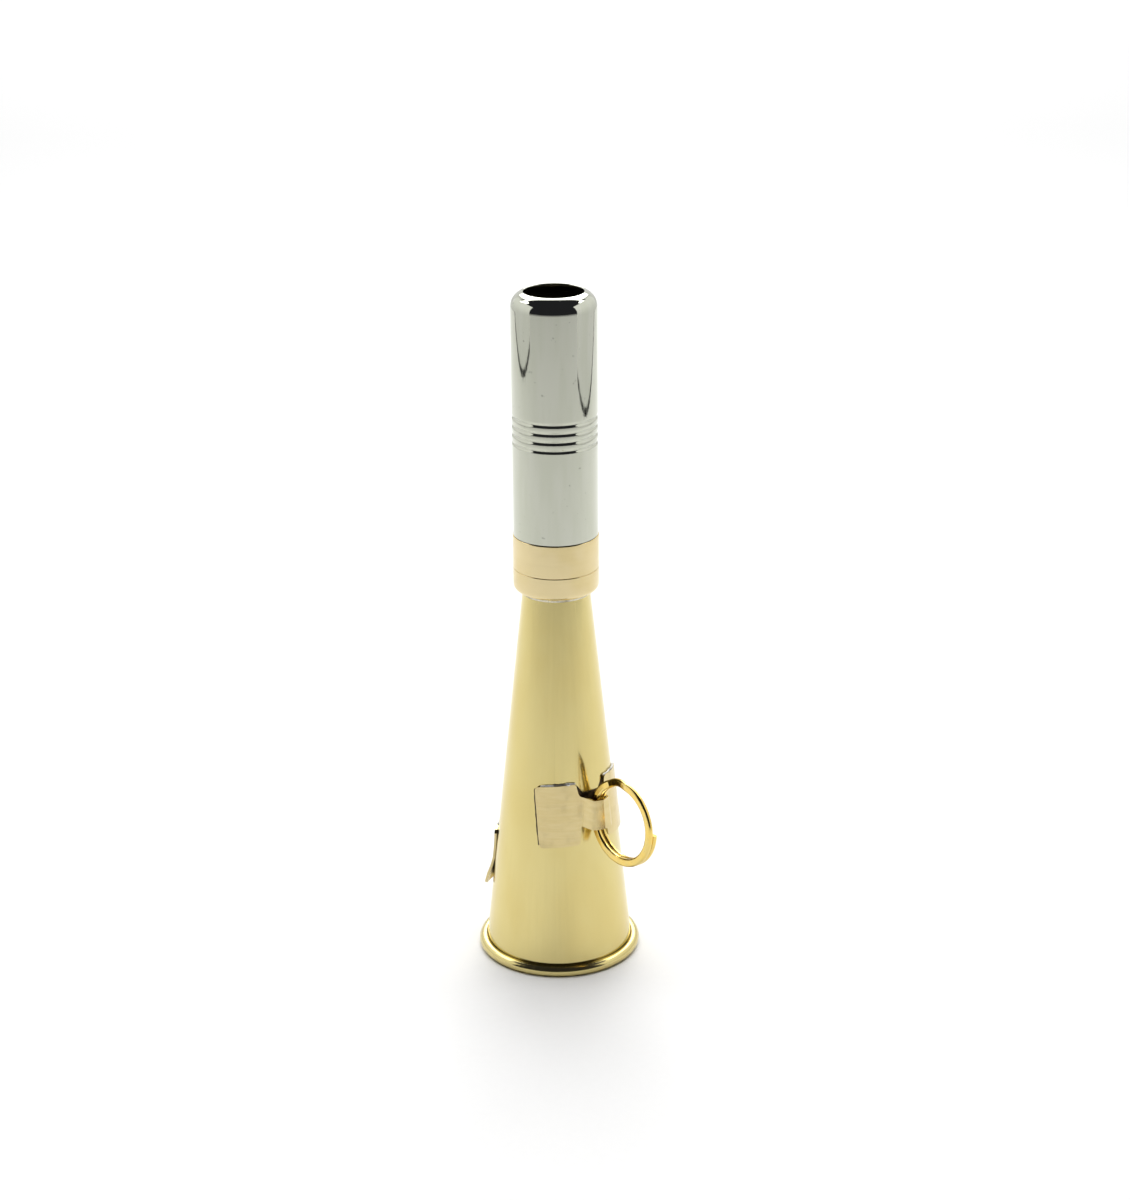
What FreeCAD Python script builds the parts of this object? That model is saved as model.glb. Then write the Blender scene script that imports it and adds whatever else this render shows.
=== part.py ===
import FreeCAD, Part
import math
import os

import Sketcher

# Small brass reed horn: a straight sheet-metal bell with a rolled rim, a turned collar, a reed block with
# its beating reed, a plated mouthpiece tube over the reed, and two soldered clips that hold split rings.
# The frame is +Z up along the horn's axis. The origin is the centre of the flat that the rim stands on.
# Azimuths turn about +Z and start at -Y, the front, so that 90 degrees is +X. Sizes are in millimetres.

SIZES = [
    # bell
    ("bell_length", 79.4, "rim plane up to the underside of the collar"),
    ("bell_mouth_radius", 15.25, "outside of the cone, carried down to the rim plane"),
    ("bell_neck_radius", 6.754, "outside of the cone at the underside of the collar"),
    ("bell_sheet", 0.45, "thickness of the bell sheet"),
    ("neck_in_collar", 2.2, "how far the cone's narrow end goes up into the collar"),
    ("roll_radius", 1.15, "outside radius of the rolled rim's section"),
    ("roll_outset", 0.33, "centre line of the roll, outside the carried-down cone"),
    ("roll_flat", 0.05, "depth dressed off the roll's underside so that it stands flat"),
    ("roll_seam", 0.12, "slit where the rolled edge comes back to the cone"),
    ("rim_wire_play", 0.06, "gap between the rim wire and the inside of the roll"),
    # collar and reed block
    ("collar_wall", 1.8, "collar and reed block's ring, outside the cone's neck"),
    ("collar_height", 4.8, "height of the collar"),
    ("collar_rounding", 1.3, "rounding of the collar's lower edge"),
    ("solder_gap", 0.05, "gap for solder between the cone and the collar"),
    ("collar_solder_leg", 0.7, "leg of the solder fillet below the collar"),
    ("edge_break", 0.15, "small chamfer on turned edges"),
    ("socket_play", 0.04, "radial play of the lower spigot in the collar"),
    ("spigot_length", 6.2, "length of the lower spigot"),
    ("block_ring_height", 6.8, "height of the reed block's visible ring"),
    ("tube_spigot_length", 6.0, "length of the upper spigot inside the mouthpiece tube"),
    ("tube_play", 0.05, "radial play of the upper spigot in the mouthpiece tube"),
    ("reed_bore_radius", 3.25, "bore through the reed block"),
    # mouthpiece tube
    ("tube_step", 0.12, "mouthpiece tube's surface inside that of the reed block's ring"),
    ("tube_wall", 0.75, "wall of the mouthpiece tube"),
    ("tube_gap", 0.1, "gap between the tube's end and the reed block's ring"),
    ("tube_length", 49.3, "length of the mouthpiece tube"),
    ("shoulder_radius", 3.2, "rounding of the tube's closed end"),
    ("blow_hole_radius", 5.9, "hole that is blown into"),
    ("lip_rounding", 0.3, "rounding of the blow hole's edges"),
    ("groove_count", 4, "turned grooves round the tube"),
    ("groove_pitch", 1.74, "distance from one groove to the next"),
    ("groove_width", 0.9, "width of a groove at the surface"),
    ("groove_depth", 0.3, "depth of a groove"),
    ("groove_height", 19.3, "lowest groove above the tube's lower end"),
    # reed
    ("reed_play", 0.05, "radial play of the shallot and the wedge in the reed bore"),
    ("shallot_bore_radius", 2.2, "air way inside the shallot"),
    ("shallot_foot", 14.5, "length of the shallot's round foot"),
    ("shallot_length", 42.0, "whole length of the shallot"),
    ("shallot_face", 0.6, "flat face of the shallot in front of its axis"),
    ("shallot_end", 1.6, "closed end of the shallot"),
    ("tongue_thickness", 0.2, "thickness of the reed tongue"),
    ("tongue_width", 5.2, "width of the reed tongue"),
    ("tongue_root", 2.6, "length of tongue held inside the bore"),
    ("tongue_free", 24.0, "length of tongue free to beat"),
    ("tongue_set", 1.6, "degrees that the tongue stands off the shallot's face"),
    ("tongue_room", 0.12, "gap on each side of the tongue's root"),
    ("wedge_length", 4.6, "length of the wedge"),
    ("wedge_proud", 0.8, "how far the wedge stands out of the bore"),
    # clips
    ("clip_azimuth", 37.0, "direction that the front clip faces"),
    ("clip_height", 34.5, "middle of the front clip"),
    ("rear_clip_turn", 180.0, "rear clip, round the bell from the front clip"),
    ("rear_clip_height", 19.5, "middle of the rear clip"),
    ("clip_sheet", 0.5, "thickness of the clip strip"),
    ("clip_solder", 0.08, "solder film between the clip and the bell"),
    ("clip_reach", 11.7, "half length of the strip, along the bell's surface"),
    ("clip_lean", 3.0, "lean of the wings' outer edges, in degrees"),
    ("clip_trim", 6.0, "strip left over at each end before it is cut to length, in degrees"),
    ("wing_height", 13.0, "height of the clip's wings"),
    ("wing_corner", 0.9, "rounding of the wings' corners"),
    ("strap_height", 6.2, "height of the strap between the wings"),
    ("strap_raise", 0.55, "middle of the strap above the middle of the clip"),
    ("strap_foot", 2.95, "half width of the strap at the bell"),
    ("strap_shoulder", 2.3, "half width of the strap at its shoulders"),
    ("strap_shoulder_height", 3.4, "shoulders above the bell"),
    ("strap_peak_height", 4.0, "crease along the strap's middle, above the bell"),
    ("solder_overrun", 0.35, "solder showing past the wings' upper edge"),
    # split rings
    ("ring_mean_radius", 8.2, "centre line of the split ring's strand"),
    ("strand_width", 1.65, "strand, across the ring"),
    ("strand_thickness", 1.04, "strand, along the ring's axis"),
    ("strand_rounding", 0.42, "rounding of the strand's corners"),
    ("layer_pitch", 1.1, "from one layer of the split ring to the other"),
    ("back_layer_end", 240.0, "degrees round the ring where the strand leaves the back layer"),
    ("crossing_turn", 40.0, "degrees taken by the crossing"),
    ("crossing_points", 9, "points that the crossing's curve passes through"),
    ("strand_turn", 603.0, "degrees from one cut end to the other"),
    ("ring_standoff", 1.45, "swing axis outside the bell's surface, at the strap's middle"),
    ("ring_raise", 0.15, "ring's centre above the strap's middle"),
    ("ring_lean", 2.7, "lean of the ring's plane about its own level line"),
    ("front_ring_turn", 3.6, "how far the front ring is swung from straight out"),
    ("rear_ring_turn", -37.0, "how far the rear ring is swung from straight out"),
]

doc = FreeCAD.newDocument("reed_horn")
sheet = doc.addObject("Spreadsheet::Sheet", "Sizes")
for row, (alias, value, note) in enumerate(SIZES, start=1):
    sheet.set(f"A{row}", note)
    sheet.set(f"B{row}", str(value))
    sheet.setAlias(f"B{row}", alias)
doc.recompute()


def size(alias):
    """Value of one cell of the sheet."""
    return float(sheet.get(alias))


# Heights and radii that several pieces share, as expressions on the sheet.
TAPER = "((Sizes.bell_mouth_radius - Sizes.bell_neck_radius) / Sizes.bell_length)"
RING_RADIUS = "(Sizes.bell_neck_radius + Sizes.solder_gap + Sizes.collar_wall)"
TUBE_RADIUS = f"({RING_RADIUS} - Sizes.tube_step)"
BLOCK_RING_Z = "(Sizes.bell_length + Sizes.collar_height)"
BLOCK_TOP_Z = f"({BLOCK_RING_Z} + Sizes.block_ring_height)"
TUBE_Z = f"({BLOCK_TOP_Z} + Sizes.tube_gap)"
SPIGOT_Z = f"({BLOCK_RING_Z} - Sizes.spigot_length)"
BORE_TOP_Z = f"({BLOCK_TOP_Z} + Sizes.tube_spigot_length)"
NECK_TOP_Z = "(Sizes.bell_length + Sizes.neck_in_collar)"
SOCKET_RADIUS = f"(Sizes.bell_mouth_radius - {TAPER} * {NECK_TOP_Z} - Sizes.bell_sheet)"
REED_RADIUS = "(Sizes.reed_bore_radius - Sizes.reed_play)"
ROLL_RADIUS_LINE = "(Sizes.bell_mouth_radius + Sizes.roll_outset)"
ROLL_Z = "(Sizes.roll_radius - Sizes.roll_flat)"


def cone(height, outset="0"):
    """Outside radius of the bell at a height, plus an outset, as an expression."""
    return f"(Sizes.bell_mouth_radius - {TAPER} * ({height}) + {outset})"


def bell_radius(height):
    """Outside radius of the bell at a height, as a number."""
    return value_of(cone(str(height)))


def bind(item, **expressions):
    """Ties properties to the sheet. A double underscore stands for the dot of a nested property."""
    for name, expression in expressions.items():
        item.setExpression(name.replace("__", "."), expression)
    return item


def primitive(kind, name, **expressions):
    """A Part primitive whose sizes and place are tied to the sheet."""
    return bind(doc.addObject(kind, name), **expressions)


def boolean(kind, name, base, tool):
    """A Part cut, fuse or common of two objects."""
    item = doc.addObject(kind, name)
    item.Base = base
    item.Tool = tool
    return item


def new_body(name, **expressions):
    """An empty PartDesign body."""
    return bind(doc.addObject("PartDesign::Body", name), **expressions)


def plane_of(body, role):
    """One of the body's own origin planes."""
    return next(item for item in body.Origin.OriginFeatures if item.Role == role)


def outline(body, name, role, corners, offset=None):
    """A closed outline on an origin plane. Every corner is an (across, up) pair of expressions."""
    sketch = body.newObject("Sketcher::SketchObject", name)
    sketch.AttachmentSupport = [(plane_of(body, role), "")]
    sketch.MapMode = "FlatFace"
    if offset:
        sketch.AttachmentOffset = offset
    values = [tuple(value_of(term) for term in corner) for corner in corners]
    points = [FreeCAD.Vector(across, up, 0) for across, up in values]
    for start, end in zip(points, points[1:] + points[:1]):
        sketch.addGeometry(Part.LineSegment(start, end))
    for line in range(len(points)):
        sketch.addConstraint(Sketcher.Constraint("Coincident", line, 2, (line + 1) % len(points), 1))
    for line, (corner, value) in enumerate(zip(corners, values)):
        place_corner(sketch, line, "X", corner[0], value[0])
        place_corner(sketch, line, "Y", corner[1], value[1])
    return sketch


def value_of(term):
    """Number that an expression on the sheet gives now."""
    found = sheet.evalExpression(term.replace("Sizes.", ""))
    return float(getattr(found, "Value", found))


def place_corner(sketch, line, direction, term, value):
    """Ties the start of a line to the sheet, measured from the sketch's origin."""
    if abs(value) < 1e-9:
        axis = -2 if direction == "X" else -1
        sketch.addConstraint(Sketcher.Constraint("PointOnObject", line, 1, axis))
        return
    ends = (-1, 1, line, 1) if value > 0 else (line, 1, -1, 1)
    index = sketch.addConstraint(Sketcher.Constraint(f"Distance{direction}", *ends, abs(value)))
    sketch.renameConstraint(index, f"{direction.lower()}{line}")
    sketch.setExpression(f"Constraints.{direction.lower()}{line}", term if value > 0 else f"-({term})")


def turned(body, name, corners, cut=False, angle=360.0, symmetric=False):
    """An outline turned about +Z, added to the body or cut from it."""
    sketch = outline(body, f"{name}_outline", "XZ_Plane", corners)
    feature = body.newObject("PartDesign::Groove" if cut else "PartDesign::Revolution", name)
    feature.Profile = sketch
    feature.ReferenceAxis = (sketch, ["V_Axis"])
    feature.Angle = angle
    feature.Midplane = symmetric
    return feature


def pushed(body, name, role, corners, cut=False, offset=None, reverse=False, **settings):
    """An outline padded or pocketed square to its plane."""
    sketch = outline(body, f"{name}_outline", role, corners, offset)
    feature = body.newObject("PartDesign::Pocket" if cut else "PartDesign::Pad", name)
    feature.Profile = sketch
    feature.Reversed = reverse
    for key, value in settings.items():
        setattr(feature, key, value)
    return feature


def dressed(body, kind, name, base, wanted, **expressions):
    """A fillet or chamfer on the edges of a feature that a test picks out."""
    doc.recompute()
    edges = [f"Edge{i}" for i, edge in enumerate(base.Shape.Edges, start=1) if wanted(edge)]
    if not edges:
        raise RuntimeError(f"{name}: no edge found")
    feature = body.newObject(kind, name)
    feature.Base = (base, edges)
    return bind(feature, **expressions)


def circle_at(radius, height):
    """Test for a full circle round +Z of a given radius and height."""

    def wanted(edge):
        curve = edge.Curve
        if not isinstance(curve, Part.Circle):
            return False
        return abs(curve.Radius - radius) < 0.01 and abs(curve.Center.z - height) < 0.01

    return wanted


def make_bell():
    """Cone of sheet, with its lip rolled outwards round the rim wire and left open along a seam."""
    outer = primitive(
        "Part::Cone", "bell_outside",
        Radius1=cone("0"), Radius2=cone(NECK_TOP_Z), Height=NECK_TOP_Z,
    )
    inner = primitive(
        "Part::Cone", "bell_inside",
        Radius1=cone("0", "-Sizes.bell_sheet"), Radius2=cone(NECK_TOP_Z, "-Sizes.bell_sheet"),
        Height=NECK_TOP_Z,
    )
    below = primitive(
        "Part::Cylinder", "bell_below_roll",
        Radius="Sizes.bell_mouth_radius * 2", Height=ROLL_Z,
    )
    roll = primitive(
        "Part::Torus", "roll_outside",
        Radius1=ROLL_RADIUS_LINE, Radius2="Sizes.roll_radius", Placement__Base__z=ROLL_Z,
    )
    hollow = primitive(
        "Part::Torus", "roll_inside",
        Radius1=ROLL_RADIUS_LINE, Radius2="Sizes.roll_radius - Sizes.bell_sheet",
        Placement__Base__z=ROLL_Z,
    )
    seam_outer = primitive(
        "Part::Cone", "seam_outside",
        Radius1=cone(ROLL_Z, "Sizes.roll_seam"), Height="Sizes.roll_radius * 2",
        Radius2=cone(f"{ROLL_Z} + Sizes.roll_radius * 2", "Sizes.roll_seam"), Placement__Base__z=ROLL_Z,
    )
    seam_inner = primitive(
        "Part::Cone", "seam_inside",
        Radius1=cone(ROLL_Z), Radius2=cone(f"{ROLL_Z} + Sizes.roll_radius * 2"),
        Height="Sizes.roll_radius * 2", Placement__Base__z=ROLL_Z,
    )
    floor_cut = primitive(
        "Part::Cylinder", "bell_floor",
        Radius="Sizes.bell_mouth_radius * 2", Height="Sizes.roll_radius",
        Placement__Base__z="-Sizes.roll_radius",
    )
    sheet_cone = boolean("Part::Cut", "bell_sheet_cone", outer, inner)
    sheet_above = boolean("Part::Cut", "bell_sheet_above_roll", sheet_cone, below)
    joined = boolean("Part::Fuse", "bell_with_roll", sheet_above, roll)
    opened = boolean("Part::Cut", "bell_hollow_roll", joined, hollow)
    seam = boolean("Part::Cut", "roll_seam_slit", seam_outer, seam_inner)
    slit = boolean("Part::Cut", "bell_slit_roll", opened, seam)
    boolean("Part::Cut", "bell", slit, floor_cut)


def make_rim_wire():
    """Round wire that stiffens the rolled rim."""
    primitive(
        "Part::Torus", "rim_wire",
        Radius1=ROLL_RADIUS_LINE,
        Radius2="Sizes.roll_radius - Sizes.bell_sheet - Sizes.rim_wire_play",
        Placement__Base__z=ROLL_Z,
    )


def make_collar():
    """Turned ring soldered on the bell's narrow end, with a socket for the reed block."""
    body = new_body("bell_collar", Placement__Base__z="Sizes.bell_length")
    turned(body, "collar_blank", [
        ("0", "0"), (RING_RADIUS, "0"),
        (RING_RADIUS, "Sizes.collar_height"), ("0", "Sizes.collar_height"),
    ])
    turned(body, "collar_seat", [
        ("0", "0"), (cone("Sizes.bell_length", "Sizes.solder_gap"), "0"),
        (cone(NECK_TOP_Z, "Sizes.solder_gap"), "Sizes.neck_in_collar"), ("0", "Sizes.neck_in_collar"),
    ], cut=True)
    socket = turned(body, "collar_socket", [
        ("0", "0"), (SOCKET_RADIUS, "0"),
        (SOCKET_RADIUS, "Sizes.collar_height"), ("0", "Sizes.collar_height"),
    ], cut=True)
    rounded = dressed(
        body, "PartDesign::Fillet", "collar_round", socket,
        circle_at(value_of(RING_RADIUS), 0), Radius="Sizes.collar_rounding",
    )
    dressed(
        body, "PartDesign::Chamfer", "collar_break", rounded,
        circle_at(value_of(RING_RADIUS), size("collar_height")), Size="Sizes.edge_break",
    )


def make_collar_solder():
    """Fillet of solder in the corner between the bell and the collar's underside."""
    body = new_body("collar_solder")
    low = "(Sizes.bell_length - Sizes.collar_solder_leg)"
    turned(body, "solder_fillet", [
        (cone(low), low),
        (cone("Sizes.bell_length", "Sizes.collar_solder_leg"), "Sizes.bell_length"),
        (cone("Sizes.bell_length"), "Sizes.bell_length"),
    ])


def make_reed_block():
    """Turned block: a ring that shows, a spigot for the collar, a spigot for the tube, and the reed bore."""
    body = new_body("reed_block", Placement__Base__z=SPIGOT_Z)
    ring_low = "Sizes.spigot_length"
    ring_high = "(Sizes.spigot_length + Sizes.block_ring_height)"
    top = "(Sizes.spigot_length + Sizes.block_ring_height + Sizes.tube_spigot_length)"
    lower = f"({SOCKET_RADIUS} - Sizes.socket_play)"
    upper = f"({TUBE_RADIUS} - Sizes.tube_wall - Sizes.tube_play)"
    blank = turned(body, "block_blank", [
        ("Sizes.reed_bore_radius", "0"), (lower, "0"), (lower, ring_low),
        (RING_RADIUS, ring_low), (RING_RADIUS, ring_high),
        (upper, ring_high), (upper, top), ("Sizes.reed_bore_radius", top),
    ])
    ring = value_of(RING_RADIUS)
    edges = (circle_at(ring, value_of(ring_low)), circle_at(ring, value_of(ring_high)))
    dressed(
        body, "PartDesign::Chamfer", "block_break", blank,
        lambda edge: any(wanted(edge) for wanted in edges), Size="Sizes.edge_break",
    )


def make_mouthpiece():
    """Plated tube with a rounded end, a wide blow hole and a band of turned grooves."""
    body = new_body("mouthpiece_tube", Placement__Base__z=TUBE_Z)
    turned(body, "tube_blank", [
        ("0", "0"), (TUBE_RADIUS, "0"),
        (TUBE_RADIUS, "Sizes.tube_length"), ("0", "Sizes.tube_length"),
    ])
    inside = f"({TUBE_RADIUS} - Sizes.tube_wall)"
    ceiling = "(Sizes.tube_length - Sizes.tube_wall)"
    cavity = turned(body, "tube_cavity", [
        ("0", "0"), (inside, "0"), (inside, ceiling), ("0", ceiling),
    ], cut=True)
    hollow = dressed(
        body, "PartDesign::Fillet", "tube_inner_shoulder", cavity,
        circle_at(value_of(inside), value_of(ceiling)), Radius="Sizes.shoulder_radius - Sizes.tube_wall",
    )
    dressed(
        body, "PartDesign::Fillet", "tube_shoulder", hollow,
        circle_at(value_of(TUBE_RADIUS), size("tube_length")), Radius="Sizes.shoulder_radius",
    )
    below = f"({ceiling} - Sizes.shoulder_radius)"
    hole = turned(body, "tube_blow_hole", [
        ("0", below), ("Sizes.blow_hole_radius", below),
        ("Sizes.blow_hole_radius", "Sizes.tube_length"), ("0", "Sizes.tube_length"),
    ], cut=True)

    def lip_edge(edge):
        """The hole's outer edge, a full circle near the tube's end."""
        if not isinstance(edge.Curve, Part.Circle):
            return False
        at_hole = abs(edge.Curve.Radius - size("blow_hole_radius")) < 0.01
        return at_hole and edge.Curve.Center.z > size("tube_length") - size("tube_wall")

    dressed(body, "PartDesign::Fillet", "tube_lip", hole, lip_edge, Radius="Sizes.lip_rounding")
    # The groove's outline starts as far outside the surface as its root is inside, so it is twice as wide.
    groove = turned(body, "tube_groove", [
        (f"{TUBE_RADIUS} + Sizes.groove_depth", "Sizes.groove_height - Sizes.groove_width"),
        (f"{TUBE_RADIUS} - Sizes.groove_depth", "Sizes.groove_height"),
        (f"{TUBE_RADIUS} + Sizes.groove_depth", "Sizes.groove_height + Sizes.groove_width"),
    ], cut=True)
    pattern = body.newObject("PartDesign::LinearPattern", "tube_grooves")
    pattern.Originals = [groove]
    pattern.Direction = (doc.getObject("tube_groove_outline"), ["V_Axis"])
    bind(
        pattern, Occurrences="Sizes.groove_count",
        Length="Sizes.groove_pitch * (Sizes.groove_count - 1)",
    )
    body.Tip = pattern


def make_shallot():
    """Round foot in the reed bore and, above it, a half-round trough with its open face to the front."""
    body = new_body("reed_shallot", Placement__Base__z=SPIGOT_Z)
    turned(body, "shallot_blank", [
        ("0", "0"), (REED_RADIUS, "0"),
        (REED_RADIUS, "Sizes.shallot_length"), ("0", "Sizes.shallot_length"),
    ])
    ceiling = "(Sizes.shallot_length - Sizes.shallot_end)"
    turned(body, "shallot_airway", [
        ("0", "0"), ("Sizes.shallot_bore_radius", "0"),
        ("Sizes.shallot_bore_radius", ceiling), ("0", ceiling),
    ], cut=True)
    wide = "Sizes.reed_bore_radius * 2"
    past_end = "(Sizes.shallot_length + Sizes.shallot_end)"
    pushed(body, "shallot_flat", "XZ_Plane", [
        (f"-{wide}", "Sizes.shallot_foot"), (wide, "Sizes.shallot_foot"),
        (wide, past_end), (f"-{wide}", past_end),
    ], cut=True, offset=lifted(size("shallot_face")), reverse=True, Type="ThroughAll")


def lifted(distance, rotation=FreeCAD.Rotation()):
    """Moves an outline off its plane by a distance, and turns it."""
    return FreeCAD.Placement(FreeCAD.Vector(0, 0, distance), rotation)


def make_wedge():
    """Wedge that keeps the tongue's root on the shallot, in the part of the bore that the flat leaves."""
    front = "(Sizes.shallot_face + Sizes.tongue_thickness + 2 * Sizes.tongue_room)"
    round_bar = primitive(
        "Part::Cylinder", "wedge_round",
        Radius=REED_RADIUS, Height="Sizes.wedge_length",
        Placement__Base__z=f"{BORE_TOP_Z} + Sizes.wedge_proud - Sizes.wedge_length",
    )
    block = primitive(
        "Part::Box", "wedge_back",
        Length="Sizes.reed_bore_radius * 4", Width="Sizes.reed_bore_radius * 4",
        Height="Sizes.wedge_length",
        Placement__Base__x="-Sizes.reed_bore_radius * 2", Placement__Base__y=f"-{front}",
        Placement__Base__z=f"{BORE_TOP_Z} + Sizes.wedge_proud - Sizes.wedge_length",
    )
    boolean("Part::Cut", "reed_wedge", round_bar, block)


def make_tongue():
    """Springy strip over the shallot's face, turned outwards by its set about the edge of the bore."""
    strip = primitive(
        "Part::Box", "reed_tongue",
        Length="Sizes.tongue_width", Width="Sizes.tongue_thickness",
        Height="Sizes.tongue_root + Sizes.tongue_free",
    )
    half = size("tongue_width") / 2
    hinge_y = -(size("shallot_face") + size("tongue_room") + size("tongue_thickness") / 2)
    hinge = FreeCAD.Vector(0, hinge_y, value_of(BORE_TOP_Z) + size("wedge_proud"))
    start = FreeCAD.Vector(-half, -size("tongue_thickness") / 2, -size("tongue_root"))
    turn = FreeCAD.Rotation(FreeCAD.Vector(1, 0, 0), size("tongue_set"))
    strip.Placement = FreeCAD.Placement(hinge + turn.multVec(start), turn)
    return strip


def wing_edges(height):
    """Heights of a clip's lower and upper edge, as expressions."""
    return f"({height} - Sizes.wing_height / 2)", f"({height} + Sizes.wing_height / 2)"


def clip_turn(height):
    """Degrees round the bell from a clip's middle to the end of a wing."""
    return math.degrees(size("clip_reach") / bell_radius(value_of(height)))


def make_clip(name, azimuth, height):
    """Strip bent round the bell: a wing on each side, soldered down, and a creased strap between them."""
    body = new_body(name)
    bind(body, Placement__Rotation__Angle=f"({azimuth}) - 90")
    low, high = wing_edges(height)
    film = "Sizes.clip_solder"
    skin = "(Sizes.clip_solder + Sizes.clip_sheet)"
    span = clip_turn(height) + size("clip_lean") + size("clip_trim")
    turned(body, f"{name}_strip", [
        (cone(low, film), low), (cone(low, skin), low), (cone(high, skin), high), (cone(high, film), high),
    ], angle=2 * span, symmetric=True)
    strap_z = f"({height} + Sizes.strap_raise - Sizes.strap_height / 2)"
    strap_top = f"({strap_z} + Sizes.strap_height)"
    past_low = f"({low} - Sizes.clip_sheet)"
    past_high = f"({high} + Sizes.clip_sheet)"
    strap = pushed(
        body, f"{name}_strap", "XY_Plane", strap_outline(height, "0"), offset=lifted(value_of(strap_z)),
    )
    bind(strap, Length="Sizes.strap_height")
    pushed(
        body, f"{name}_tunnel", "XY_Plane", strap_outline(height, "Sizes.clip_sheet"),
        cut=True, offset=lifted(value_of(past_low)), reverse=True, Type="ThroughAll",
    )
    foot = "Sizes.strap_foot"
    for notch, bottom, top in (("upper", strap_top, past_high), ("lower", past_low, strap_z)):
        pushed(body, f"{name}_{notch}_notch", "YZ_Plane", [
            (f"-{foot}", bottom), (foot, bottom), (foot, top), (f"-{foot}", top),
        ], cut=True, reverse=True, Type="ThroughAll")
    for side, sign in (("left", -1), ("right", 1)):
        trim_wing(body, f"{name}_{side}_end", sign, height)
    seat = turned(body, f"{name}_seat", [
        ("0", past_low), (cone(past_low, film), past_low), (cone(past_high, film), past_high),
        ("0", past_high),
    ], cut=True)
    thickness = size("clip_sheet")
    edges_z = (value_of(low), value_of(high))

    def wing_corner(edge):
        """A short edge through the sheet at the upper or lower edge of a wing."""
        if not isinstance(edge.Curve, Part.Line) or abs(edge.Length - thickness) > thickness / 2:
            return False
        middle = (edge.Vertexes[0].Point + edge.Vertexes[-1].Point) / 2
        return min(abs(middle.z - edge_z) for edge_z in edges_z) < thickness / 2

    dressed(
        body, "PartDesign::Fillet", f"{name}_corners", seat, wing_corner, Radius="Sizes.wing_corner",
    )


def strap_outline(height, inset):
    """Corners of the creased strap seen from above, or of the tunnel under it when inset by the sheet."""
    foot = f"(Sizes.strap_foot - {inset})"
    shoulder = f"(Sizes.strap_shoulder - {inset})"
    core = f"({cone(height)} - Sizes.strap_foot)"
    shoulder_x = f"({cone(height)} + Sizes.strap_shoulder_height - {inset})"
    peak_x = f"({cone(height)} + Sizes.strap_peak_height - {inset})"
    return [
        (core, f"-{foot}"), (shoulder_x, f"-{shoulder}"), (peak_x, "0"),
        (shoulder_x, shoulder), (core, foot),
    ]


def trim_wing(body, name, sign, height):
    """Cuts a wing's outer end square to the sheet, with the lean of a straight strip bent on a cone."""
    low, high = wing_edges(height)
    lean = math.tan(math.radians(size("clip_lean"))) * size("wing_height") / 2
    past_end = sign * size("wing_height")
    bottom, top = f"({low} - Sizes.clip_sheet)", f"({high} + Sizes.clip_sheet)"
    outward = FreeCAD.Rotation(FreeCAD.Vector(0, 1, 0), sign * clip_turn(height))
    pushed(body, name, "YZ_Plane", [
        (str(sign * lean), bottom), (str(past_end), bottom), (str(past_end), top), (str(-sign * lean), top),
    ], cut=True, reverse=True, offset=lifted(0, outward), Type="ThroughAll")


def make_clip_solder(name, azimuth, height):
    """Film of solder between the clip and the bell, showing a little past the wings' upper edge."""
    body = new_body(name)
    bind(body, Placement__Rotation__Angle=f"({azimuth}) - 90")
    low, high = wing_edges(height)
    film_low, film_high = f"({low} + Sizes.wing_corner)", f"({high} + Sizes.solder_overrun)"
    film = "Sizes.clip_solder"
    turned(body, f"{name}_film", [
        (cone(film_low), film_low), (cone(film_low, film), film_low),
        (cone(film_high, film), film_high), (cone(film_high), film_high),
    ], angle=2 * (clip_turn(height) - size("clip_lean")), symmetric=True)


def strand_point(turn, depth, radius):
    """Point of the strand after a turn from its first cut end, clockwise seen from the front."""
    angle = math.radians(turn)
    centre = size("ring_mean_radius")
    return FreeCAD.Vector(centre + radius * math.cos(angle), depth, -radius * math.sin(angle))


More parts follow.
